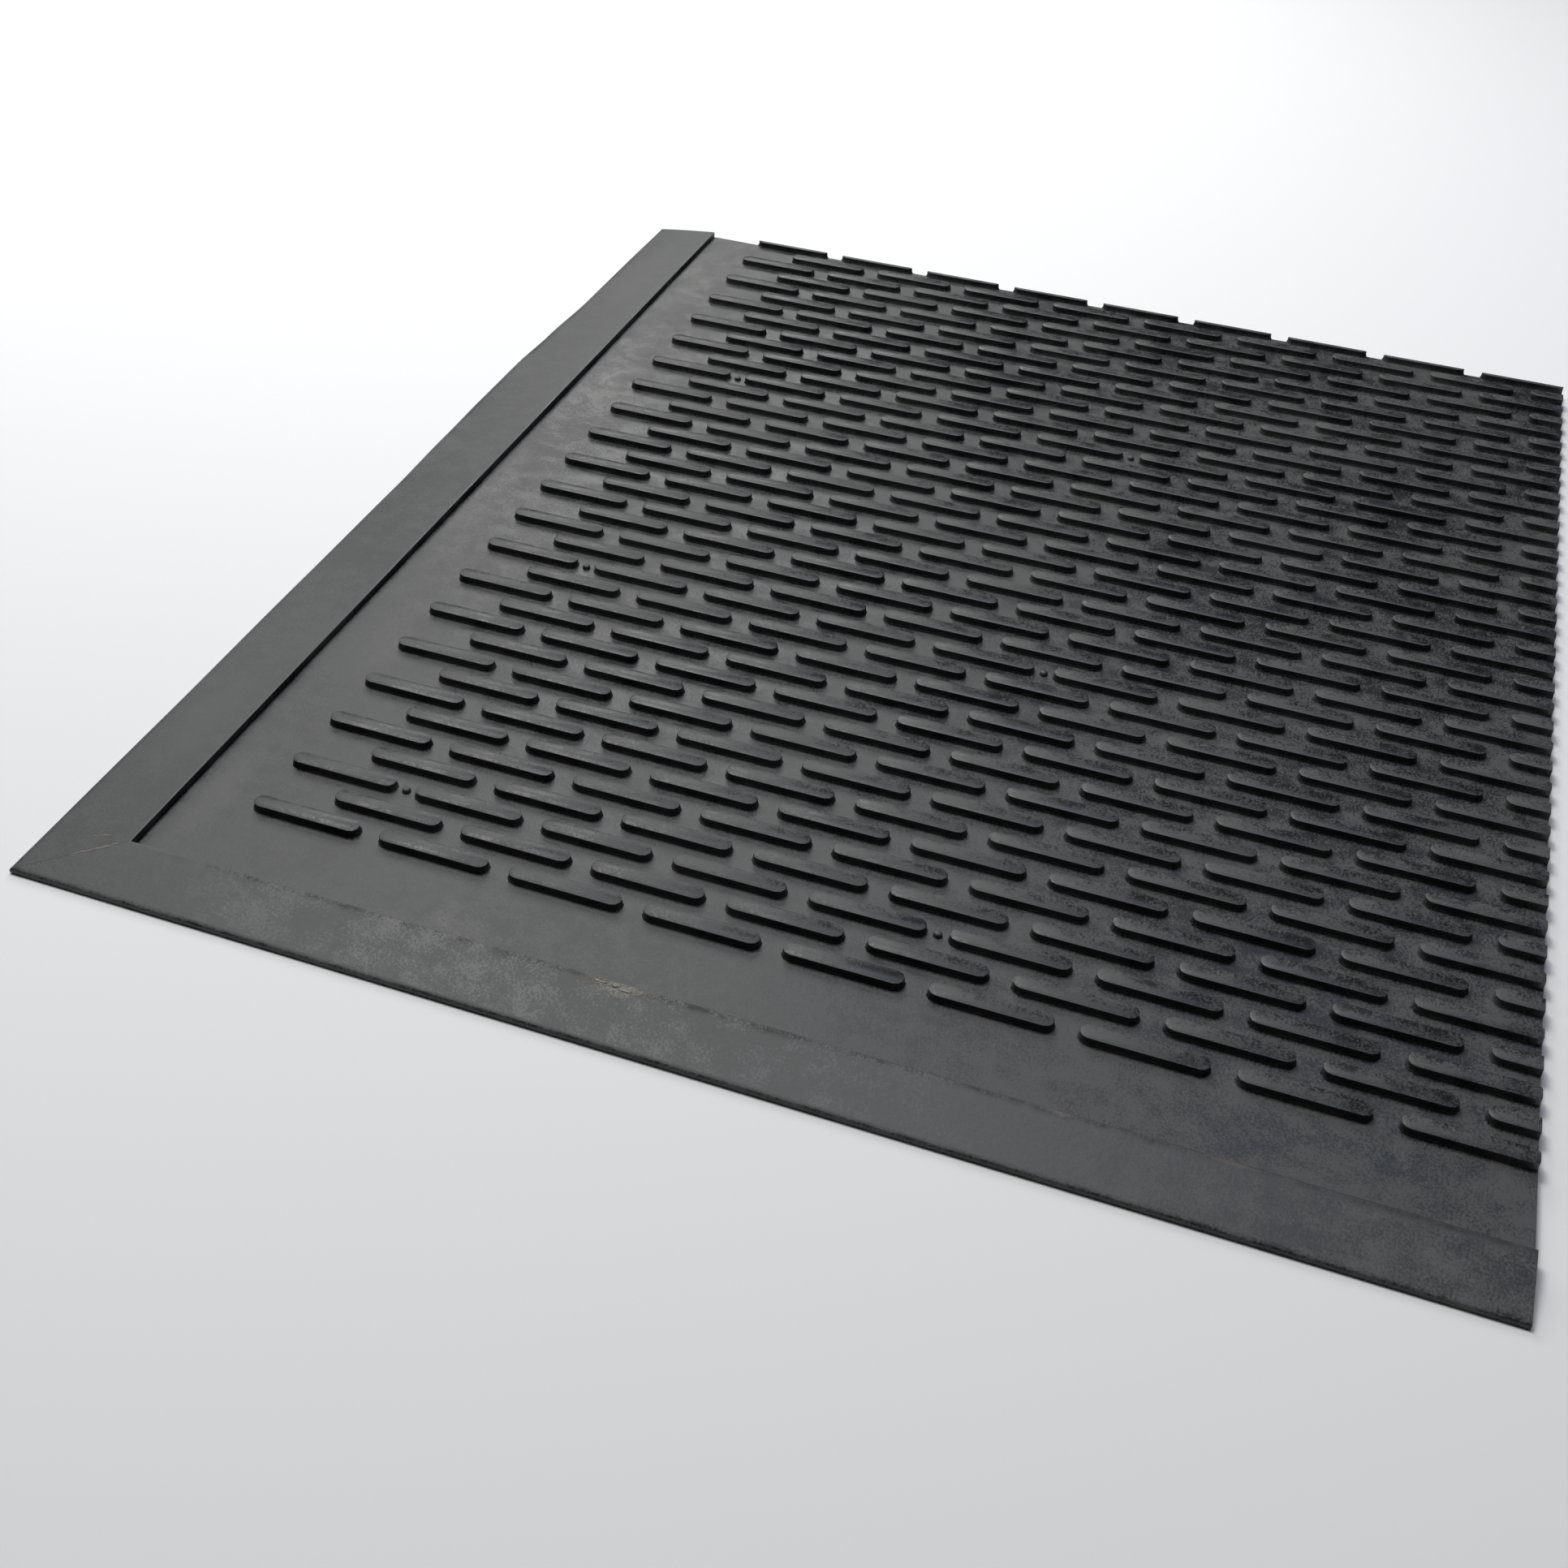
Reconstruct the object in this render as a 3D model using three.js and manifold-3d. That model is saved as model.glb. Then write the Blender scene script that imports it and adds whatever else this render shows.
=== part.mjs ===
// Rubber scraper mat: a moulded cleated sheet with a ramped edging strip glued along its
// left side and its front, mitred where they meet. Millimetres, X to the right, Y away, Z up.
import * as THREE from 'three';
import { mergeVertices } from 'three/addons/utils/BufferGeometryUtils.js';
import Module from 'manifold-3d';

// Sheet
const SHEET_WIDTH = 468; // from the side strip to the right-hand cut
const SHEET_DEPTH = 566; // from the front strip to the back cut
const SHEET_THICKNESS = 3;

// Cleats, long axis along X, every second row shifted by half a pitch
const CLEAT_LENGTH = 42;
const CLEAT_WIDTH = 6.5;
const CLEAT_HEIGHT = 3;
const CLEAT_PITCH = 50;
const ROW_SPACING = 13.3;
const ROW_COUNT = 41;
const CLEATS_IN_ROW = 9;
const SIDE_MARGIN = 27; // side strip to the first cleat's end
const FRONT_MARGIN = 32; // front strip to the first row's near face

// Small round pips in the gaps between cleats
const PIP_DIAMETER = 3.2;
const PIP_HEIGHT = 1.5;
const PIP_ROWS = [2, 14, 28];
const PIP_CLEATS = [0, 4];

// Edging strips
const SIDE_STRIP_WIDTH = 33;
const FRONT_STRIP_WIDTH = 24;
const STRIP_INNER_HEIGHT = 6;
const STRIP_OUTER_HEIGHT = 2;

// Fits
const GLUE_GAP = 0.3; // between glued edges
const ROOT_DEPTH = 1; // how far a cleat's solid reaches into the sheet
const CUT_OVERLAP = 10; // how far a cutting body reaches past what it cuts

const CORNERS = 8; // corners in the plan of a cleat or pip

const overallWidth = SIDE_STRIP_WIDTH + SHEET_WIDTH;
const overallDepth = FRONT_STRIP_WIDTH + SHEET_DEPTH;
const left = -overallWidth / 2;
const right = overallWidth / 2;
const front = -overallDepth / 2;
const back = overallDepth / 2;
const seamX = left + SIDE_STRIP_WIDTH; // inner edge of the side strip
const seamY = front + FRONT_STRIP_WIDTH; // inner edge of the front strip
const mitreAngle = Math.atan2(FRONT_STRIP_WIDTH, SIDE_STRIP_WIDTH);

const wasm = await Module();
wasm.setup();

function toSolid(geometry) {
  geometry.deleteAttribute('normal');
  geometry.deleteAttribute('uv');
  const merged = mergeVertices(geometry, 1e-5);
  return new wasm.Manifold(new wasm.Mesh({
    numProp: 3,
    vertProperties: new Float32Array(merged.attributes.position.array),
    triVerts: new Uint32Array(merged.index.array),
  }));
}

function toGeometry(solid) {
  const mesh = solid.getMesh();
  const geometry = new THREE.BufferGeometry();
  geometry.setAttribute('position', new THREE.BufferAttribute(mesh.vertProperties, 3));
  geometry.setIndex(new THREE.BufferAttribute(mesh.triVerts, 1));
  geometry.computeVertexNormals();
  return geometry;
}

// Raises one or more plan outlines between two levels
function raise(outlines, bottom, top) {
  const geometry = new THREE.ExtrudeGeometry(outlines, { depth: top - bottom, bevelEnabled: false });
  geometry.translate(0, 0, bottom);
  return toSolid(geometry);
}

function outlineOf(points) {
  return new THREE.Shape(points.map(([x, y]) => new THREE.Vector2(x, y)));
}

// Oblong with half-octagon ends, or a plain octagon where the length equals the width
function oblong(centreX, centreY, length, width) {
  const inset = (length - width) / 2;
  const reach = width / 2 / Math.cos(Math.PI / CORNERS);
  const points = [];
  for (let i = 0; i < CORNERS; i += 1) {
    const angle = ((i + 0.5) * 2 * Math.PI) / CORNERS;
    const side = Math.sign(Math.cos(angle));
    points.push([centreX + side * inset + reach * Math.cos(angle), centreY + reach * Math.sin(angle)]);
  }
  return outlineOf(points);
}

function rectangle(x0, y0, x1, y1) {
  return outlineOf([[x0, y0], [x1, y0], [x1, y1], [x0, y1]]);
}

// Cleated sheet: plate, cleats and pips as one moulding, trimmed by the right and back cuts
function cleatedSheet() {
  const firstX = seamX + SIDE_MARGIN;
  const firstY = seamY + FRONT_MARGIN + CLEAT_WIDTH / 2;
  const cleats = [];
  for (let row = 0; row < ROW_COUNT; row += 1) {
    const shift = (row % 2) * (CLEAT_PITCH / 2);
    for (let i = 0; i < CLEATS_IN_ROW; i += 1) {
      const x = firstX + shift + i * CLEAT_PITCH + CLEAT_LENGTH / 2;
      cleats.push(oblong(x, firstY + row * ROW_SPACING, CLEAT_LENGTH, CLEAT_WIDTH));
    }
  }
  const pips = [];
  const gapMiddle = (CLEAT_PITCH + CLEAT_LENGTH) / 2;
  for (const row of PIP_ROWS) {
    for (const cleat of PIP_CLEATS) {
      const x = firstX + cleat * CLEAT_PITCH + gapMiddle;
      pips.push(oblong(x, firstY + row * ROW_SPACING, PIP_DIAMETER, PIP_DIAMETER));
    }
  }
  const rootLevel = SHEET_THICKNESS - ROOT_DEPTH;
  const plan = rectangle(seamX + GLUE_GAP, seamY + GLUE_GAP, right, back);
  const raised = raise(cleats, rootLevel, SHEET_THICKNESS + CLEAT_HEIGHT)
    .add(raise(pips, rootLevel, SHEET_THICKNESS + PIP_HEIGHT));
  const trimmed = raised.intersect(raise(plan, 0, SHEET_THICKNESS + CLEAT_HEIGHT + CUT_OVERLAP));
  return raise(plan, 0, SHEET_THICKNESS).add(trimmed);
}

// Ramp section in its own plane: outer edge at zero, inner edge at the strip's width
function rampSection(width) {
  return outlineOf([[0, 0], [width, 0], [width, STRIP_INNER_HEIGHT], [0, STRIP_OUTER_HEIGHT]]);
}

function extrudeRamp(width, length) {
  return new THREE.ExtrudeGeometry(rampSection(width), { depth: length, bevelEnabled: false });
}

// Side strip: runs the whole depth, mitred at the front
function sideEdging() {
  const geometry = extrudeRamp(SIDE_STRIP_WIDTH, overallDepth);
  geometry.rotateX(Math.PI / 2);
  geometry.translate(left, back, 0);
  const plan = outlineOf([[left, front], [seamX, seamY], [seamX, back], [left, back]]);
  return toSolid(geometry).intersect(raise(plan, -CUT_OVERLAP, STRIP_INNER_HEIGHT + CUT_OVERLAP));
}

// Front strip: runs the whole width, mitred at the left with the glue gap off the side strip
function frontEdging() {
  const geometry = extrudeRamp(FRONT_STRIP_WIDTH, overallWidth);
  geometry.rotateX(Math.PI / 2);
  geometry.rotateZ(Math.PI / 2);
  geometry.translate(left, front, 0);
  const gapAlong = GLUE_GAP / Math.sin(mitreAngle);
  const plan = outlineOf([[left + gapAlong, front], [right, front], [right, seamY], [seamX + gapAlong, seamY]]);
  return toSolid(geometry).intersect(raise(plan, -CUT_OVERLAP, STRIP_INNER_HEIGHT + CUT_OVERLAP));
}

function piece(name, solid, colour, roughness) {
  const material = new THREE.MeshStandardMaterial({ color: colour, roughness, metalness: 0 });
  const mesh = new THREE.Mesh(toGeometry(solid), material);
  mesh.name = name;
  return mesh;
}

const mat = new THREE.Group();
mat.name = 'rubber_scraper_mat';
mat.add(piece('cleated_sheet', cleatedSheet(), 0x3f4041, 0.62));
mat.add(piece('side_edging', sideEdging(), 0x47484a, 0.68));
mat.add(piece('front_edging', frontEdging(), 0x454648, 0.66));

export default mat;
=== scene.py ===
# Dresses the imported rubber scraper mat: the cleated sheet, its two ramped edging strips and
# the glue that holds them. Metres, in the part's own frame: X along the cleats, Y away, Z up.
import bpy
import bmesh
import math
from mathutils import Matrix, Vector, noise


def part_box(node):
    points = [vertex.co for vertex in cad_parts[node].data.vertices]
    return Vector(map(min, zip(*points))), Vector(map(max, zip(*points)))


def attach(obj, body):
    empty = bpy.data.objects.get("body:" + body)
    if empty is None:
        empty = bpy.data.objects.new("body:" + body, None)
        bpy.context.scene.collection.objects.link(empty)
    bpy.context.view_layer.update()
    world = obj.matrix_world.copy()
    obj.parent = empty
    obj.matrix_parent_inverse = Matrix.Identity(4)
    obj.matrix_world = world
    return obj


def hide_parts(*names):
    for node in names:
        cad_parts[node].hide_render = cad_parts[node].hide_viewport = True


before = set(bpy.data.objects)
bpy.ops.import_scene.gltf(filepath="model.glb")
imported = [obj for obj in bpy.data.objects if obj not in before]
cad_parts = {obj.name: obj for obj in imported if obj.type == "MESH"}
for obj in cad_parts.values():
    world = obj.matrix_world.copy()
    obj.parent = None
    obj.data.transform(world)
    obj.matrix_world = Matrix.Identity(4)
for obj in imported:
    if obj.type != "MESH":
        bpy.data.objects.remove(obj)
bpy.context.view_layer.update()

# Cleated sheet
# One compression-moulded sheet of black rubber: a thin web with oblong cleats in a brick
# pattern and a few round pips in the gaps. Its right and back edges are plain knife cuts,
# one through the last cleats of every second row, one lengthwise through the last row.
MM = 0.001
sheet_low, sheet_high = [Vector(corner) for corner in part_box("cleated_sheet")]
web_top = 3.0 * MM
cleat_length = 42.0 * MM
cleat_width = 6.5 * MM
cleat_height = 3.0 * MM
cleat_pitch = 50.0 * MM
row_spacing = 13.3 * MM
row_count = 41
cleats_in_row = 9
side_margin = 27.0 * MM
front_margin = 32.0 * MM
glue_gap = 0.3 * MM
seam_x = sheet_low.x - glue_gap
seam_y = sheet_low.y - glue_gap
first_cleat = Vector((seam_x + side_margin, seam_y + front_margin, web_top))
sharp_angle = math.radians(50)


def swell(x, y):
    """Gentle rise and fall of a rubber sheet that has been rolled and laid out, in metres."""
    wave = noise.noise(Vector((x * 9.0, y * 7.0, 3.1)))
    ripple = noise.noise(Vector((x * 31.0, y * 26.0, 8.7)))
    return (0.16 * wave + 0.05 * ripple) * MM


def lay_down(name, build):
    """Turns a finished bmesh into an object at the origin."""
    mesh = bpy.data.meshes.new(name)
    build.to_mesh(mesh)
    build.free()
    piece = bpy.data.objects.new(name, mesh)
    bpy.context.scene.collection.objects.link(piece)
    return piece


def moulded_bump(name, length, width, profile, corners):
    """A raised bump of the moulding as one closed shell with round ends.

    profile holds (inset, height, painted edge weight) for each ring, from the root up to the flat
    top.
    """
    bump = bmesh.new()
    painted_edge = bump.verts.layers.float.new("painted_edge")
    rings = []
    for inset, height, edge_weight in profile:
        ring = []
        for end in (1, -1):
            for i in range(corners):
                turn = math.pi * (i / (corners - 1) - 0.5)
                radius = width / 2 - inset
                vertex = bump.verts.new((end * ((length - width) / 2 + math.cos(turn) * radius),
                                         end * math.sin(turn) * radius, height))
                vertex[painted_edge] = edge_weight
                ring.append(vertex)
        rings.append(ring)
    for lower, upper in zip(rings, rings[1:]):
        for i in range(len(lower)):
            j = (i + 1) % len(lower)
            bump.faces.new((lower[i], lower[j], upper[j], upper[i])).smooth = True
    bump.faces.new(reversed(rings[0]))
    bump.faces.new(rings[-1])
    return lay_down(name, bump)


def maths(tree, operation, first, second=0.0):
    """Adds a math node; each operand is a socket or a number."""
    node = tree.nodes.new("ShaderNodeMath")
    node.operation = operation
    for socket, value in zip(node.inputs, (first, second)):
        if isinstance(value, (int, float)):
            socket.default_value = value
        else:
            tree.links.new(value, socket)
    return node.outputs[0]


def brick_tree():
    """Sets the input shape out in a brick pattern: every second row steps aside."""
    tree = bpy.data.node_groups.new("brick_pattern", "GeometryNodeTree")
    tree.interface.new_socket("Shape", in_out="INPUT", socket_type="NodeSocketGeometry")
    for name, kind in (("Columns", "NodeSocketInt"), ("Rows", "NodeSocketInt"),
                       ("Pitch", "NodeSocketFloat"), ("Row Spacing", "NodeSocketFloat"),
                       ("Stagger", "NodeSocketFloat"), ("Start", "NodeSocketVector"),
                       ("Height Spread", "NodeSocketFloat"), ("Seed", "NodeSocketInt"),
                       ("Material", "NodeSocketMaterial")):
        tree.interface.new_socket(name, in_out="INPUT", socket_type=kind)
    tree.interface.new_socket("Shape", in_out="OUTPUT", socket_type="NodeSocketGeometry")
    nodes, links = tree.nodes, tree.links
    take = nodes.new("NodeGroupInput").outputs
    give = nodes.new("NodeGroupOutput").inputs

    line = nodes.new("GeometryNodePoints")
    links.new(maths(tree, "MULTIPLY", take["Columns"], take["Rows"]), line.inputs["Count"])
    index = nodes.new("GeometryNodeInputIndex").outputs[0]
    row = maths(tree, "FLOOR", maths(tree, "DIVIDE", maths(tree, "ADD", index, 0.01),
                                     take["Columns"]))
    column = maths(tree, "SUBTRACT", index, maths(tree, "MULTIPLY", row, take["Columns"]))
    step = maths(tree, "MULTIPLY", maths(tree, "MODULO", row, 2.0), take["Stagger"])
    place = nodes.new("ShaderNodeCombineXYZ")
    links.new(maths(tree, "ADD", maths(tree, "MULTIPLY", column, take["Pitch"]), step),
              place.inputs["X"])
    links.new(maths(tree, "MULTIPLY", row, take["Row Spacing"]), place.inputs["Y"])
    move = nodes.new("ShaderNodeVectorMath")
    move.operation = "ADD"
    links.new(place.outputs[0], move.inputs[0])
    links.new(take["Start"], move.inputs[1])
    links.new(move.outputs[0], line.inputs["Position"])

    spread = nodes.new("FunctionNodeRandomValue")
    spread.data_type = "FLOAT"
    links.new(maths(tree, "SUBTRACT", 1.0, take["Height Spread"]), spread.inputs["Min"])
    links.new(take["Seed"], spread.inputs["Seed"])
    size = nodes.new("ShaderNodeCombineXYZ")
    size.inputs["X"].default_value = 1.0
    size.inputs["Y"].default_value = 1.0
    links.new(spread.outputs["Value"], size.inputs["Z"])
    stand = nodes.new("GeometryNodeInstanceOnPoints")
    links.new(line.outputs["Geometry"], stand.inputs["Points"])
    links.new(take["Shape"], stand.inputs["Instance"])
    links.new(size.outputs[0], stand.inputs["Scale"])
    real = nodes.new("GeometryNodeRealizeInstances")
    links.new(stand.outputs["Instances"], real.inputs["Geometry"])
    paint = nodes.new("GeometryNodeSetMaterial")
    links.new(real.outputs["Geometry"], paint.inputs["Geometry"])
    links.new(take["Material"], paint.inputs["Material"])
    links.new(paint.outputs["Geometry"], give["Shape"])
    return tree


def set_out(piece, tree, values):
    """Runs a tree on a piece with named inputs and keeps the result as a plain mesh."""
    modifier = piece.modifiers.new("pattern", "NODES")
    modifier.node_group = tree
    for socket in tree.interface.items_tree:
        if socket.in_out == "INPUT" and socket.name in values:
            modifier[socket.identifier] = values[socket.name]
    reach = bpy.context.evaluated_depsgraph_get()
    mesh = bpy.data.meshes.new_from_object(piece.evaluated_get(reach))
    piece.modifiers.remove(modifier)
    piece.data = mesh
    return piece


def shader_group(name, floats, vectors=(), result="Shade"):
    """An empty shader group with named number and vector inputs and one result."""
    group = bpy.data.node_groups.new(name, "ShaderNodeTree")
    for label, value in floats:
        socket = group.interface.new_socket(label, in_out="INPUT", socket_type="NodeSocketFloat")
        socket.default_value = value
    for label in vectors:
        group.interface.new_socket(label, in_out="INPUT", socket_type="NodeSocketVector")
    group.interface.new_socket(result, in_out="OUTPUT", socket_type="NodeSocketFloat")
    entry = group.nodes.new("NodeGroupInput")
    return group, entry.outputs, group.nodes.new("NodeGroupOutput").inputs


def cloud(group, place, scale, detail=3.0, stretch=None, batch=0.0):
    """Noise from 0 to 1 at a scale per metre, stretched along an axis if asked."""
    texture = group.nodes.new("ShaderNodeTexNoise")
    texture.noise_dimensions = "4D"
    texture.inputs["Detail"].default_value = detail
    texture.inputs["W"].default_value = batch
    if isinstance(scale, (int, float)):
        texture.inputs["Scale"].default_value = scale
    else:
        group.links.new(scale, texture.inputs["Scale"])
    if stretch:
        squeeze = group.nodes.new("ShaderNodeVectorMath")
        squeeze.operation = "MULTIPLY"
        squeeze.inputs[1].default_value = stretch
        group.links.new(place, squeeze.inputs[0])
        place = squeeze.outputs[0]
    group.links.new(place, texture.inputs["Vector"])
    return texture.outputs["Fac"]


def swing(tree, fac, strength):
    """Noise turned into a swing about zero, of the given strength."""
    return maths(tree, "MULTIPLY", maths(tree, "SUBTRACT", fac, 0.5), strength)


# Cloudy bloom that dulls old rubber: broad clouds, smaller blotches, fine specks and a few
# crumbs of pale dust.
bloom, take, give = shader_group("rubber_bloom", (
    ("Cloud Size", 0.06), ("Clouds", 0.5), ("Blotches", 0.4), ("Specks", 0.3), ("Crumbs", 0.3)))
place = bloom.nodes.new("ShaderNodeTexCoord").outputs["Object"]
clouds = swing(bloom, cloud(bloom, place, maths(bloom, "DIVIDE", 1.0, take["Cloud Size"]), 4.0),
               take["Clouds"])
blotches = swing(bloom, cloud(bloom, place, 110.0, 4.0, (1.0, 1.3, 1.0), 4.0), take["Blotches"])
specks = swing(bloom, cloud(bloom, place, 1250.0, 3.0, None, 9.0), take["Specks"])
crumbs = bloom.nodes.new("ShaderNodeMapRange")
crumbs.inputs["From Min"].default_value = 0.70
crumbs.inputs["From Max"].default_value = 0.76
bloom.links.new(cloud(bloom, place, 800.0, 1.0, None, 12.0), crumbs.inputs["Value"])
fine = maths(bloom, "ADD", specks, maths(bloom, "MULTIPLY", crumbs.outputs["Result"],
                                         take["Crumbs"]))
bloom.links.new(maths(bloom, "ADD", maths(bloom, "ADD", clouds, blotches),
                      maths(bloom, "ADD", fine, 0.5)), give["Shade"])

# Print of the press cloth in both directions over a faint orange peel.
grain, take, give = shader_group("press_grain", (("Threads", 0.5), ("Peel", 0.5)), (), "Height")
place = grain.nodes.new("ShaderNodeTexCoord").outputs["Object"]
warp = cloud(grain, place, 1.0, 1.0, (260.0, 1150.0, 1.0))
weft = cloud(grain, place, 1.0, 1.0, (1150.0, 260.0, 1.0), 5.0)
threads = swing(grain, maths(grain, "ADD", maths(grain, "MULTIPLY", warp, 0.5),
                             maths(grain, "MULTIPLY", weft, 0.5)), take["Threads"])
peel = swing(grain, cloud(grain, place, 430.0, 2.0, None, 2.0), take["Peel"])
grain.links.new(maths(grain, "ADD", threads, peel), give["Height"])

# One patch of dust or scuffing: an oval with a ragged, faded edge at a place of its own.
patch, take, give = shader_group("dust_patch", (
    ("Half Length", 0.01), ("Half Width", 0.005), ("Turn", 0.0), ("Raggedness", 0.6)),
    ("Centre",), "Mask")
place = patch.nodes.new("ShaderNodeTexCoord").outputs["Object"]
away = patch.nodes.new("ShaderNodeVectorMath")
away.operation = "SUBTRACT"
patch.links.new(place, away.inputs[0])
patch.links.new(take["Centre"], away.inputs[1])
turned = patch.nodes.new("ShaderNodeVectorRotate")
turned.rotation_type = "Z_AXIS"
patch.links.new(away.outputs[0], turned.inputs["Vector"])
patch.links.new(maths(patch, "MULTIPLY", take["Turn"], -1.0), turned.inputs["Angle"])
sides = patch.nodes.new("ShaderNodeSeparateXYZ")
patch.links.new(turned.outputs[0], sides.inputs[0])
along = maths(patch, "DIVIDE", sides.outputs["X"], take["Half Length"])
across = maths(patch, "DIVIDE", sides.outputs["Y"], take["Half Width"])
reach = maths(patch, "SQRT", maths(patch, "ADD", maths(patch, "MULTIPLY", along, along),
                                   maths(patch, "MULTIPLY", across, across)))
ragged = swing(patch, cloud(patch, place, 140.0, 4.0, None, 6.0), take["Raggedness"])
fade = patch.nodes.new("ShaderNodeMapRange")
fade.interpolation_type = "SMOOTHSTEP"
for label, value in (("From Min", 1.1), ("From Max", 0.35), ("To Min", 0.0), ("To Max", 1.0)):
    fade.inputs[label].default_value = value
patch.links.new(maths(patch, "ADD", reach, maths(patch, "MULTIPLY", ragged, 2.0)),
                fade.inputs["Value"])
patch.links.new(fade.outputs[0], give["Mask"])

# Painted edge tone along an edge, broken up so that it comes and goes: painted highlight on the
# cleats' shoulders, painted shade on the front strip's inner edge.
ragged_edge, take, give = shader_group("ragged_edge", (("Edge Weight", 0.0), ("Raggedness", 0.5)), (),
                                       "Mask")
place = ragged_edge.nodes.new("ShaderNodeTexCoord").outputs["Object"]
uneven = swing(ragged_edge, cloud(ragged_edge, place, 170.0, 4.0, None, 15.0), take["Raggedness"])
softer = ragged_edge.nodes.new("ShaderNodeMapRange")
softer.interpolation_type = "SMOOTHSTEP"
ragged_edge.links.new(maths(ragged_edge, "MULTIPLY", take["Edge Weight"],
                            maths(ragged_edge, "ADD", uneven, 1.0)), softer.inputs["Value"])
ragged_edge.links.new(softer.outputs["Result"], give["Mask"])


def mix_colour(material, mask, base, colour):
    """Lays a colour over the base socket where the mask is white."""
    tree = material.node_tree
    mix = tree.nodes.new("ShaderNodeMix")
    mix.data_type = "RGBA"
    sockets = [socket for socket in mix.inputs if socket.type == "RGBA"]
    tree.links.new(mask, mix.inputs[0])
    for socket, value in zip(sockets, (base, colour)):
        if isinstance(value, tuple):
            socket.default_value = (*value, 1.0)
        else:
            tree.links.new(value, socket)
    return next(socket for socket in mix.outputs if socket.type == "RGBA")


def rubber(name, dark, pale, bloom_values, roughness, grain_values, patches=(), painted_edge=None):
    """Matt black rubber: two greys mixed by its bloom, with dust patches and a painted edge tone.

    patches holds (centre, half length, half width, turn, strength, colour) for each patch,
    and painted_edge is (colour, raggedness) for the painted edge tone that the mesh's own
    painted_edge attribute lets through.
    """
    material = bpy.data.materials.new(name)
    material.use_nodes = True
    tree = material.node_tree
    surface = tree.nodes["Principled BSDF"]
    shade = tree.nodes.new("ShaderNodeGroup")
    shade.node_tree = bloom
    for label, value in zip(("Cloud Size", "Clouds", "Blotches", "Specks", "Crumbs"), bloom_values):
        shade.inputs[label].default_value = value
    colour = mix_colour(material, shade.outputs["Shade"], dark, pale)
    if painted_edge:
        edge = tree.nodes.new("ShaderNodeAttribute")
        edge.attribute_name = "painted_edge"
        ragged = tree.nodes.new("ShaderNodeGroup")
        ragged.node_tree = ragged_edge
        ragged.inputs["Raggedness"].default_value = painted_edge[1]
        tree.links.new(edge.outputs["Fac"], ragged.inputs["Edge Weight"])
        colour = mix_colour(material, ragged.outputs["Mask"], colour, painted_edge[0])
    for centre, half_length, half_width, turn, strength, tint in patches:
        dust = tree.nodes.new("ShaderNodeGroup")
        dust.node_tree = patch
        dust.inputs["Centre"].default_value = centre
        dust.inputs["Half Length"].default_value = half_length
        dust.inputs["Half Width"].default_value = half_width
        dust.inputs["Turn"].default_value = turn
        colour = mix_colour(material, maths(tree, "MULTIPLY", dust.outputs["Mask"], strength),
                            colour, tint)
    tree.links.new(colour, surface.inputs["Base Color"])
    dull = tree.nodes.new("ShaderNodeMapRange")
    dull.inputs["To Min"].default_value = roughness[0]
    dull.inputs["To Max"].default_value = roughness[1]
    tree.links.new(shade.outputs["Shade"], dull.inputs["Value"])
    tree.links.new(dull.outputs["Result"], surface.inputs["Roughness"])
    press = tree.nodes.new("ShaderNodeGroup")
    press.node_tree = grain
    for label, value in zip(("Threads", "Peel"), grain_values):
        press.inputs[label].default_value = value
    bump = tree.nodes.new("ShaderNodeBump")
    bump.inputs["Distance"].default_value = 0.00006
    tree.links.new(press.outputs["Height"], bump.inputs["Height"])
    tree.links.new(bump.outputs["Normal"], surface.inputs["Normal"])
    return material


dust_grey = (0.105, 0.104, 0.100)
sheet_rubber = rubber(
    "sheet_rubber", (0.010, 0.011, 0.013), (0.071, 0.072, 0.070),
    (0.075, 2.2, 2.8, 3.8, 1.2), (0.38, 0.64), (0.9, 0.8),
    ((Vector((-0.0930, -0.2645, web_top)), 0.0160, 0.0055, -0.05, 0.45, dust_grey),
     (Vector((-0.1010, -0.2590, web_top)), 0.0070, 0.0060, 0.90, 0.25, dust_grey),
     (Vector((-0.2010, 0.1100, web_top)), 0.0100, 0.0330, 0.00, 0.30, dust_grey),
     (Vector((-0.2050, 0.2300, web_top)), 0.0100, 0.0450, 0.00, 0.34, dust_grey),
     (Vector((-0.2080, 0.0150, web_top)), 0.0070, 0.0260, 0.00, 0.22, dust_grey),
     (Vector((-0.1960, -0.1300, web_top)), 0.0120, 0.0300, 0.10, 0.18, dust_grey),
     (Vector((-0.2060, -0.2350, web_top)), 0.0080, 0.0300, 0.00, 0.22, dust_grey)),
    # Painted highlight: a paler grey on the cleats' and pips' top edges, standing in for rims that
    # catch the light.
    ((0.085, 0.085, 0.084), 1.2))

# The cleats' shoulder ring (0.5) and top ring (0.1) take the painted highlight.
cleat = moulded_bump("cleated_sheet_cleats", cleat_length, cleat_width,
                     ((-0.00070, -0.00030, 0.0), (-0.00026, 0.00040, 0.0),
                      (0.00002, 0.00130, 0.0), (0.00014, 0.00288, 0.5),
                      (0.00034, cleat_height, 0.1)), 6)
tree = brick_tree()
set_out(cleat, tree, {
    "Columns": cleats_in_row, "Rows": row_count, "Pitch": cleat_pitch,
    "Row Spacing": row_spacing, "Stagger": cleat_pitch / 2,
    "Start": first_cleat + Vector((cleat_length / 2, cleat_width / 2, 0)),
    "Height Spread": 0.015, "Seed": 7, "Material": sheet_rubber})

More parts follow.
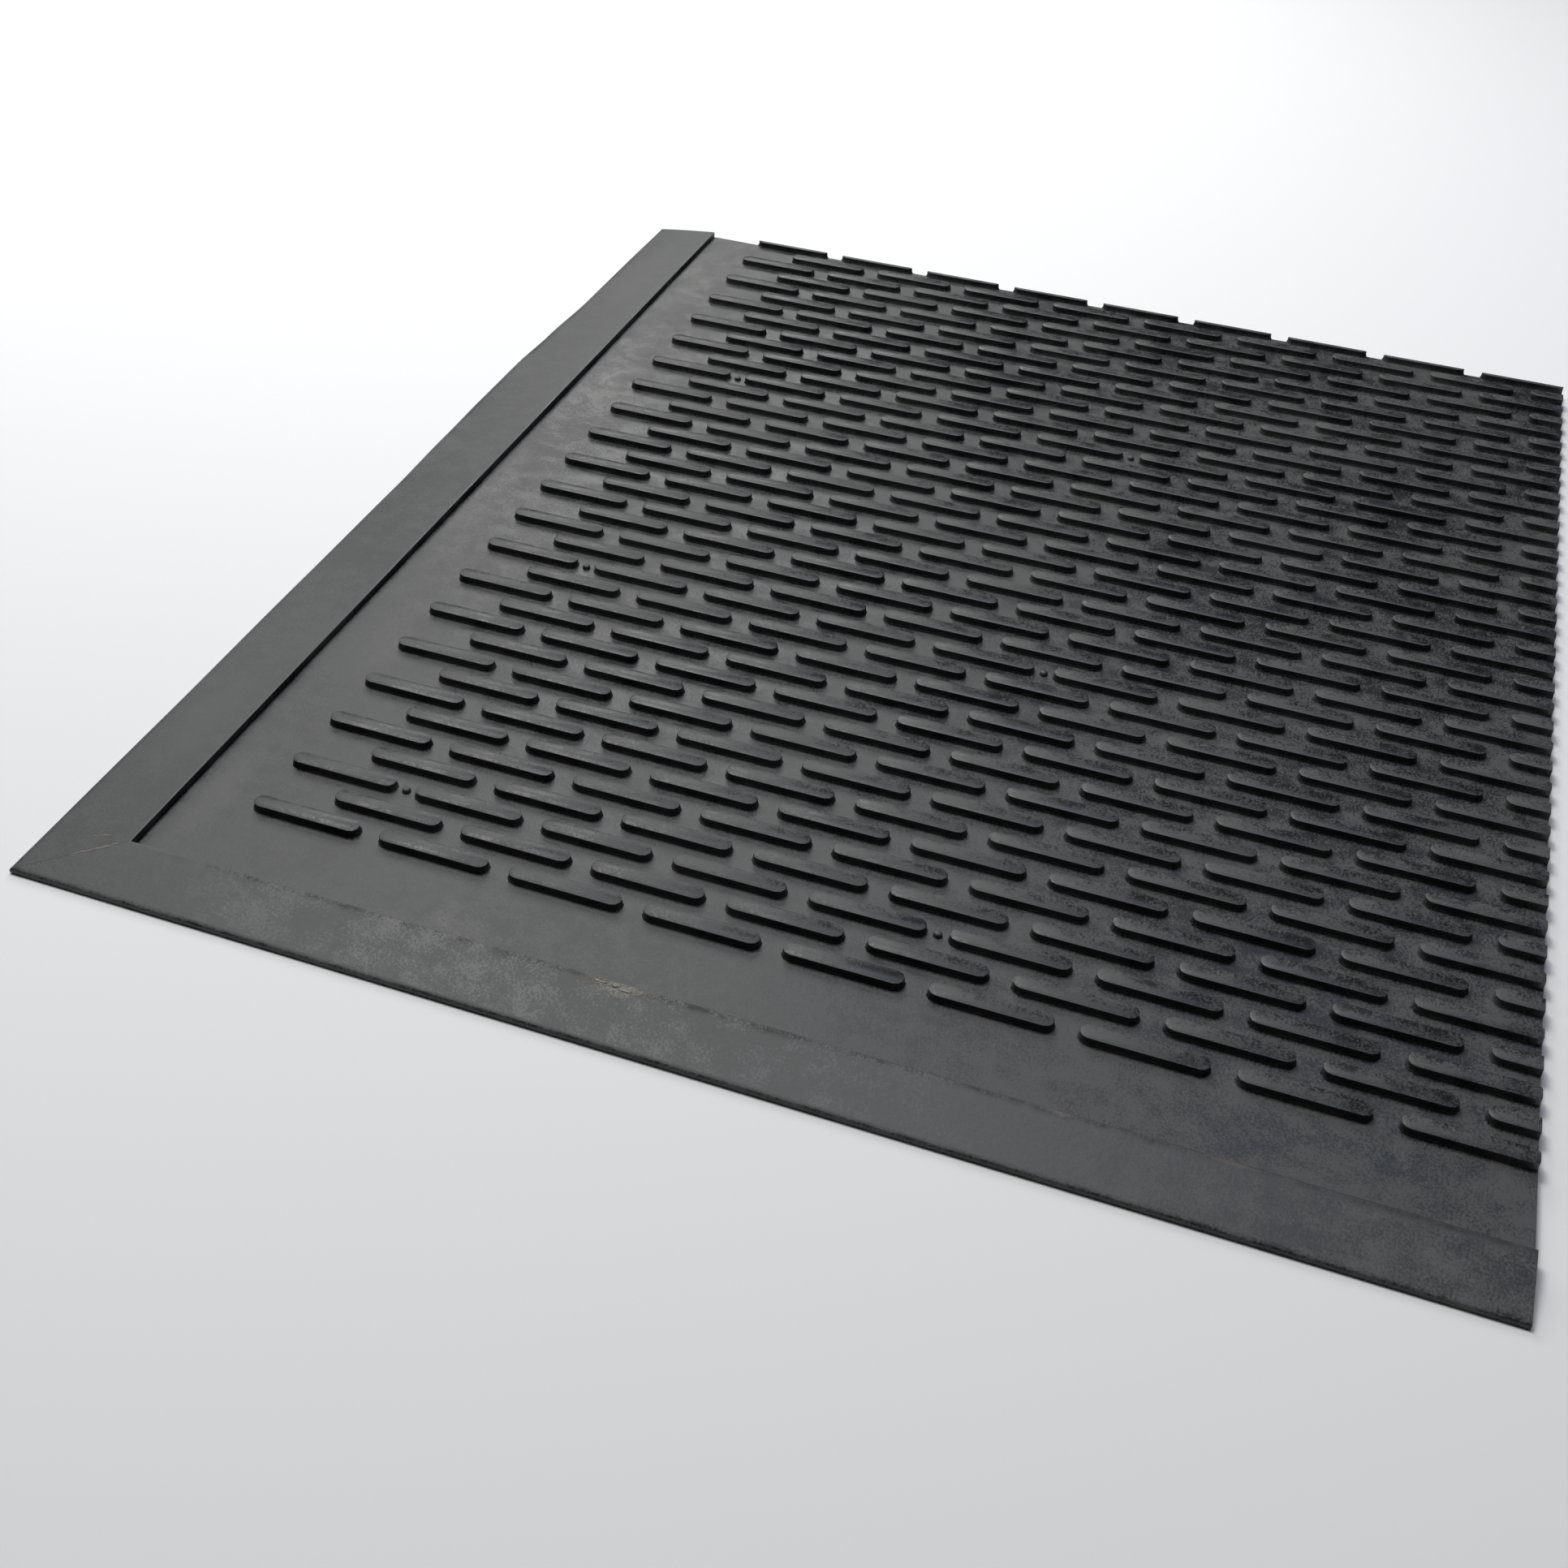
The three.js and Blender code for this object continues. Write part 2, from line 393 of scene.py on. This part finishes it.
pip_size = 3.2 * MM
pip_rows = (2, 14, 28)
cleats_between_pips = 4
pips = []
for row in pip_rows:
    pip = moulded_bump("pip_row_%d" % row, pip_size + 0.02 * MM, pip_size,
                       ((-0.0003, -0.0003, 0.0), (0.0000, 0.0002, 0.0), (0.0001, 0.0011, 0.0),
                        (0.0006, 0.0015, 0.1)), 8)
    start = first_cleat + Vector(((cleat_pitch + cleat_length) / 2,
                                  row * row_spacing + cleat_width / 2, 0))
    set_out(pip, tree, {
        "Columns": 2, "Rows": 1, "Pitch": cleats_between_pips * cleat_pitch,
        "Row Spacing": row_spacing, "Stagger": 0.0, "Start": start, "Height Spread": 0.0,
        "Seed": 1, "Material": sheet_rubber})
    pips.append(pip)


def cut_flush(mesh, point, outward):
    """Knife cut: trims every shell past a plane and closes each cut face."""
    cut = bmesh.new()
    cut.from_mesh(mesh)
    geometry = cut.verts[:] + cut.edges[:] + cut.faces[:]
    bmesh.ops.bisect_plane(cut, geom=geometry, dist=1e-7, plane_co=point, plane_no=outward,
                           clear_outer=True)
    rims = [edge for edge in cut.edges if edge.is_boundary]
    faces = bmesh.ops.edgeloop_fill(cut, edges=rims)["faces"]
    cut.normal_update()
    for face in faces:
        face.smooth = False
        if face.normal.dot(outward) < 0:
            face.normal_flip()
    cut.to_mesh(mesh)
    cut.free()


def web_shell(low, high, step):
    """The sheet's thin web: a close grid on top, plain sides and one flat underside."""
    columns = round((high.x - low.x) / step)
    rows = round((high.y - low.y) / step)
    web = bmesh.new()
    web.verts.layers.float.new("painted_edge")
    top = [[web.verts.new((low.x + (high.x - low.x) * i / columns,
                           low.y + (high.y - low.y) * j / rows, web_top))
            for i in range(columns + 1)] for j in range(rows + 1)]
    for j in range(rows):
        for i in range(columns):
            face = web.faces.new((top[j][i], top[j][i + 1], top[j + 1][i + 1], top[j + 1][i]))
            face.smooth = True
    rim = (top[0][:-1] + [line[-1] for line in top[:-1]] + top[-1][:0:-1]
           + [line[0] for line in top[:0:-1]])
    base = [web.verts.new((vertex.co.x, vertex.co.y, low.z)) for vertex in rim]
    for i in range(len(rim)):
        j = (i + 1) % len(rim)
        web.faces.new((base[i], base[j], rim[j], rim[i]))
    web.faces.new(reversed(base))
    return web


knife_gap = 0.01 * MM
web_step = 6.0 * MM
cut_flush(cleat.data, Vector((sheet_high.x - knife_gap, 0, 0)), Vector((1, 0, 0)))
cut_flush(cleat.data, Vector((0, sheet_high.y - knife_gap, 0)), Vector((0, 1, 0)))
moulding = web_shell(sheet_low, sheet_high, web_step)
for bumps in [cleat] + pips:
    moulding.from_mesh(bumps.data)
    bpy.data.objects.remove(bumps)
for vertex in moulding.verts:
    if vertex.co.z > web_top / 2:
        vertex.co.z += swell(vertex.co.x, vertex.co.y)
sheet = lay_down("cleated_sheet_moulding", moulding)
sheet.data.set_sharp_from_angle(angle=sharp_angle)
sheet.data.materials.append(sheet_rubber)
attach(sheet, "root")
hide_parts("cleated_sheet")

# Side edging
# A ramp of the same rubber, extruded and cut to length. It lies against the sheet's left
# edge with contact glue and stands above the web, so its inner face shows as a step. Its
# thin outer edge has crept outwards past the middle, where the glue pulled unevenly.
strip_outer_height = 2.0 * MM
strip_inner_height = 6.0 * MM
side_low, side_high = [Vector(corner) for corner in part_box("side_edging")]
front_low, front_high = [Vector(corner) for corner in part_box("front_edging")]
side_width = seam_x - side_low.x
front_width = seam_y - front_low.y
side_creep = ((-0.295, 0.0), (-0.20, 0.3), (-0.10, 1.1), (-0.02, 1.6), (0.03, 2.6),
              (0.07, 3.3), (0.11, 3.5), (0.145, 2.2), (0.19, 0.5), (0.24, 0.4), (0.295, 0.0))


def creep(y):
    """How far the side strip's outer edge has crept out at y, in metres."""
    for (near, low), (far, high) in zip(side_creep, side_creep[1:]):
        if y <= far:
            part = (y - near) / (far - near)
            return (low + (high - low) * part * part * (3 - 2 * part)) * MM
    return 0.0


def ramp_profile(width):
    """Closed ramp section as (in from the outer edge, height, painted edge weight), anticlockwise.
    """
    slope = (strip_inner_height - strip_outer_height) / width
    ramp = [(width * part, strip_outer_height + slope * width * part, 0.0)
            for part in (0.94, 0.85, 0.75, 0.65, 0.55, 0.45, 0.35, 0.25, 0.15, 0.08)]
    top = strip_inner_height
    # Points just in from the inner top edge carry the weight of the front strip's painted shade
    # along the joint.
    shaded_rim = [(width - inward, top - slope * inward - 0.00002, edge_weight)
             for inward, edge_weight in ((0.0006, 1.0), (0.0011, 0.9), (0.0018, 0.5), (0.0030, 0.2))]
    return ([(0.0004, 0.0, 0.0), (width - 0.0002, 0.0, 0.0), (width, 0.0003, 0.0),
             (width, top - 0.0006, 1.0), (width - 0.00012, top - 0.0002, 1.0)] + shaded_rim
            + [(width - 0.0042, top - slope * 0.0042, 0.0)] + ramp[2:]
            + [(0.0007, strip_outer_height + slope * 0.0007 - 0.00003, 0.0),
               (0.0002, strip_outer_height - 0.0002, 0.0),
               (0.0, strip_outer_height - 0.0006, 0.0), (0.0, 0.0003, 0.0)])


def strip_shell(name, width, stations, point):
    """Sweeps the ramp section through its stations; point places one section corner.

    The section's painted edge weight starts a short way from the mitre.
    """
    section = ramp_profile(width)
    strip = bmesh.new()
    painted_edge = strip.verts.layers.float.new("painted_edge")
    rings = []
    for part in stations:
        onset = max(0.0, min(1.0, (part - 0.02) / 0.07))
        ring = []
        for inward, height, edge_weight in section:
            vertex = strip.verts.new(point(inward, height, part))
            vertex[painted_edge] = edge_weight * onset
            ring.append(vertex)
        rings.append(ring)
    for near, far in zip(rings, rings[1:]):
        for i in range(len(section)):
            j = (i + 1) % len(section)
            strip.faces.new((near[i], near[j], far[j], far[i])).smooth = True
    strip.faces.new(rings[0])
    strip.faces.new(rings[-1])
    bmesh.ops.recalc_face_normals(strip, faces=strip.faces)
    piece = lay_down(name, strip)
    piece.data.set_sharp_from_angle(angle=sharp_angle)
    return piece


def even_parts(count):
    """Stations along a strip as parts of its length, from 0 to 1."""
    return [i / count for i in range(count + 1)]


def relief(along, inward, batch, part):
    """Slight unevenness of a cheap extrusion; it dies out at the mitre."""
    return noise.noise(Vector((inward * 40, along * 11, batch))) * min(1.0, part * 9)


def side_point(inward, height, part):
    """The side strip starts on the mitre and runs back to the knife cut."""
    start = side_low.y + front_width * inward / side_width
    y = start + (side_high.y - start) * part
    out = creep(y) * (1.0 - inward / side_width)
    lift = 0.22 * MM * relief(y, inward, 5.0, part) if height > 1.5 * MM else 0.0
    return (side_low.x + inward - out, y, height + lift)


side_rubber = rubber(
    "side_edging_rubber", (0.012, 0.013, 0.015), (0.078, 0.079, 0.077),
    (0.055, 2.6, 3.0, 4.0, 1.2), (0.40, 0.66), (0.7, 0.9),
    ((Vector((-0.2330, -0.2000, 0.005)), 0.0120, 0.0400, 0.00, 0.16, dust_grey),
     (Vector((-0.2360, 0.2300, 0.005)), 0.0120, 0.0500, 0.00, 0.16, dust_grey)))
side_strip = strip_shell("side_edging_ramp", side_width, even_parts(110), side_point)
side_strip.data.materials.append(side_rubber)
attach(side_strip, "root")
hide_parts("side_edging")

# Front edging
# The same ramp rubber, trimmed narrower, along the sheet's front edge. It is mitred to the
# side strip and glued; painted shade darkens its rounded inner edge along the line where it
# meets the sheet, and thin amber films of glue lie on it there.
mitre_gap = 0.16 * MM
glue_amber = (0.112, 0.088, 0.063)
scuff_pale = (0.150, 0.148, 0.138)


def front_point(inward, height, part):
    """The front strip starts on the mitre and runs to the right-hand cut."""
    start = side_low.x + mitre_gap + side_width * inward / front_width
    x = start + (front_high.x - start) * part
    lift = 0.16 * MM * relief(x, inward, 9.0, part) if height > 1.5 * MM else 0.0
    return (x, front_low.y + inward, height + lift)


# Its greys are paler than the side strip's, though it is the same rubber: painted light that makes
# up for the ramp tilting away from the lamps.
front_rubber = rubber(
    "front_edging_rubber", (0.018, 0.019, 0.021), (0.104, 0.105, 0.103),
    (0.050, 2.2, 2.6, 3.4, 1.0), (0.42, 0.68), (0.9, 0.9),
    ((Vector((-0.1170, -0.2905, 0.003)), 0.0150, 0.0050, -0.10, 0.25, dust_grey),
     (Vector((-0.1150, -0.2913, 0.003)), 0.0050, 0.0006, -1.08, 0.80, scuff_pale),
     (Vector((-0.0340, seam_y - 0.0016, 0.006)), 0.0150, 0.0032, -0.05, 0.90, glue_amber),
     (Vector((0.1100, seam_y - 0.0006, 0.006)), 0.0065, 0.0010, 0.00, 0.60, glue_amber),
     (Vector((0.1620, seam_y - 0.0008, 0.006)), 0.0090, 0.0013, 0.00, 0.60, glue_amber),
     (Vector((-0.0600, -0.2860, 0.003)), 0.0260, 0.0060, -0.05, 0.15, dust_grey),
     (Vector((-0.1650, -0.2850, 0.003)), 0.0140, 0.0060, 0.20, 0.12, dust_grey)),
    # Painted shade: a near-black grey on the rounded inner edge along the joint, where the crease
    # would sit in shadow.
    ((0.026, 0.025, 0.024), 3.2))
front_strip = strip_shell("front_edging_ramp", front_width, even_parts(96), front_point)
front_strip.data.materials.append(front_rubber)
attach(front_strip, "root")
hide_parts("front_edging")

# Glue traces
# Contact glue that squeezed out of the mitre and of the front joint and dried there: thin
# amber smears and a few small beads, spread by hand and never quite straight.
glue = bpy.data.materials.new("dried_glue")
glue.use_nodes = True
glue_tree = glue.node_tree
glue_surface = glue_tree.nodes["Principled BSDF"]
glue_surface.inputs["Roughness"].default_value = 0.42
place = glue_tree.nodes.new("ShaderNodeTexCoord").outputs["Object"]
amber = mix_colour(glue, cloud(glue_tree, place, 520.0, 3.0),
                   (0.070, 0.066, 0.045), (0.230, 0.222, 0.175))
glue_tree.links.new(amber, glue_surface.inputs["Base Color"])
crust = glue_tree.nodes.new("ShaderNodeBump")
crust.inputs["Distance"].default_value = 0.0002
glue_tree.links.new(cloud(glue_tree, place, 1300.0, 2.0, None, 3.0), crust.inputs["Height"])
glue_tree.links.new(crust.outputs["Normal"], glue_surface.inputs["Normal"])


def strip_top(x, y):
    """Height of the ramps' upper face at a place on either strip."""
    side_part = (x - side_low.x) / side_width
    front_part = (y - front_low.y) / front_width
    part = max(0.0, min(1.0, side_part, front_part))
    return strip_outer_height + (strip_inner_height - strip_outer_height) * part


def smear(name, start, end, half_width, half_height, seed):
    """A closed, flattened bead from start to end whose width comes and goes."""
    steps = max(8, int((Vector(end) - Vector(start)).length / (0.4 * MM)))
    way = (Vector(end) - Vector(start)).normalized()
    side = Vector((-way.y, way.x))
    bead = bmesh.new()
    rings = []
    for i in range(steps + 1):
        part = i / steps
        taper = math.sqrt(max(0.0, 1 - (2 * part - 1) ** 4))
        grow = 0.75 + 0.9 * noise.noise(Vector((part * steps * 0.22, seed, 0.0)))
        drift = 0.5 * half_width * noise.noise(Vector((part * steps * 0.11, seed, 7.0)))
        centre = Vector(start).lerp(Vector(end), part) + side * drift
        broad = max(0.05 * MM, half_width * taper * max(0.25, grow))
        tall = max(0.01 * MM, half_height * taper * max(0.3, grow))
        ring = []
        for corner in range(8):
            turn = 2 * math.pi * corner / 8
            spot = centre + side * math.cos(turn) * broad
            ring.append(bead.verts.new((spot.x, spot.y,
                                        strip_top(spot.x, spot.y) + math.sin(turn) * tall)))
        rings.append(ring)
    for near, far in zip(rings, rings[1:]):
        for i in range(8):
            bead.faces.new((near[i], near[(i + 1) % 8], far[(i + 1) % 8], far[i])).smooth = True
    bead.faces.new(rings[0])
    bead.faces.new(rings[-1])
    bmesh.ops.recalc_face_normals(bead, faces=bead.faces)
    piece = lay_down(name, bead)
    piece.data.materials.append(glue)
    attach(piece, "root")
    return piece


inner_corner = Vector((seam_x, seam_y))
outer_corner = Vector((side_low.x, front_low.y))
smear("glue_on_mitre", inner_corner.lerp(outer_corner, 0.10), inner_corner.lerp(outer_corner, 0.50),
      0.60 * MM, 0.10 * MM, 1.0)
smear("glue_beside_mitre", (-0.2262, -0.2700), (-0.2330, -0.2722), 0.40 * MM, 0.08 * MM, 2.0)
smear("glue_bead_left", (-0.0425, seam_y - 1.3 * MM), (-0.0380, seam_y - 1.5 * MM),
      0.60 * MM, 0.06 * MM, 3.0)
smear("glue_bead_middle", (-0.0365, seam_y - 1.4 * MM), (-0.0330, seam_y - 1.2 * MM),
      1.15 * MM, 0.14 * MM, 4.6)
smear("glue_bead_right", (-0.0335, seam_y - 2.3 * MM), (-0.0290, seam_y - 2.5 * MM),
      0.60 * MM, 0.06 * MM, 7.1)

# Floor, light and camera
# A pale floor and a bank of soft boxes, strongest on the left and behind the mat, so that the
# tops are evenly lit and the sides towards the camera stay black. The camera stands where
# the photograph's did.
floor_half_width = 6.0
floor_drop = 0.1 * MM
floor_build = bmesh.new()
bmesh.ops.create_grid(floor_build, x_segments=1, y_segments=1, size=floor_half_width)
for vertex in floor_build.verts:
    vertex.co.z = -floor_drop
floor = lay_down("floor", floor_build)
floor_paint = bpy.data.materials.new("pale_floor")
floor_paint.use_nodes = True
floor_surface = floor_paint.node_tree.nodes["Principled BSDF"]
floor_surface.inputs["Base Color"].default_value = (0.93, 0.93, 0.93, 1)
floor_surface.inputs["Roughness"].default_value = 0.9
floor.data.materials.append(floor_paint)


def soft_box(name, place, size, power, tint):
    """A square soft box that faces the middle of the mat."""
    lamp = bpy.data.lights.new(name, "AREA")
    lamp.shape = "SQUARE"
    lamp.size = size
    lamp.energy = power
    lamp.color = tint
    box = bpy.data.objects.new(name, lamp)
    bpy.context.scene.collection.objects.link(box)
    box.location = place
    box.rotation_euler = Vector(place).to_track_quat("Z", "Y").to_euler()


soft_box("main_soft_box", (-0.85, 0.39, 1.70), 0.7, 14.5, (1.0, 1.0, 0.99))
soft_box("high_soft_box", (-0.40, 0.55, 1.70), 0.7, 6.8, (1.0, 1.0, 0.99))
soft_box("left_soft_box", (-1.30, 0.80, 0.75), 0.7, 3.4, (1.0, 1.0, 1.0))
soft_box("back_soft_box", (-0.65, 1.32, 0.92), 0.7, 8.4, (1.0, 1.0, 0.98))
soft_box("right_soft_box", (0.35, 0.75, 1.70), 0.7, 4.2, (0.80, 0.93, 1.18))
soft_box("top_soft_box", (-0.10, 0.20, 1.90), 0.7, 3.5, (1.0, 1.0, 1.0))
world = bpy.data.worlds.new("studio")
world.use_nodes = True
world.node_tree.nodes["Background"].inputs["Color"].default_value = (1.0, 1.0, 1.0, 1)
world.node_tree.nodes["Background"].inputs["Strength"].default_value = 0.02
bpy.context.scene.world = world
bpy.context.scene.view_settings.view_transform = "Standard"

lens = bpy.data.cameras.new("camera")
lens.sensor_width = 36.0
lens.lens = 41.421
lens.shift_x = 0.0080
lens.shift_y = -0.0027
lens.clip_start = 0.01
camera = bpy.data.objects.new("camera", lens)
bpy.context.scene.collection.objects.link(camera)
camera.location = (0.1319, -0.64146, 0.43055)
camera.rotation_euler = [math.radians(turn) for turn in (50.139, -2.186, 19.512)]
bpy.context.scene.camera = camera
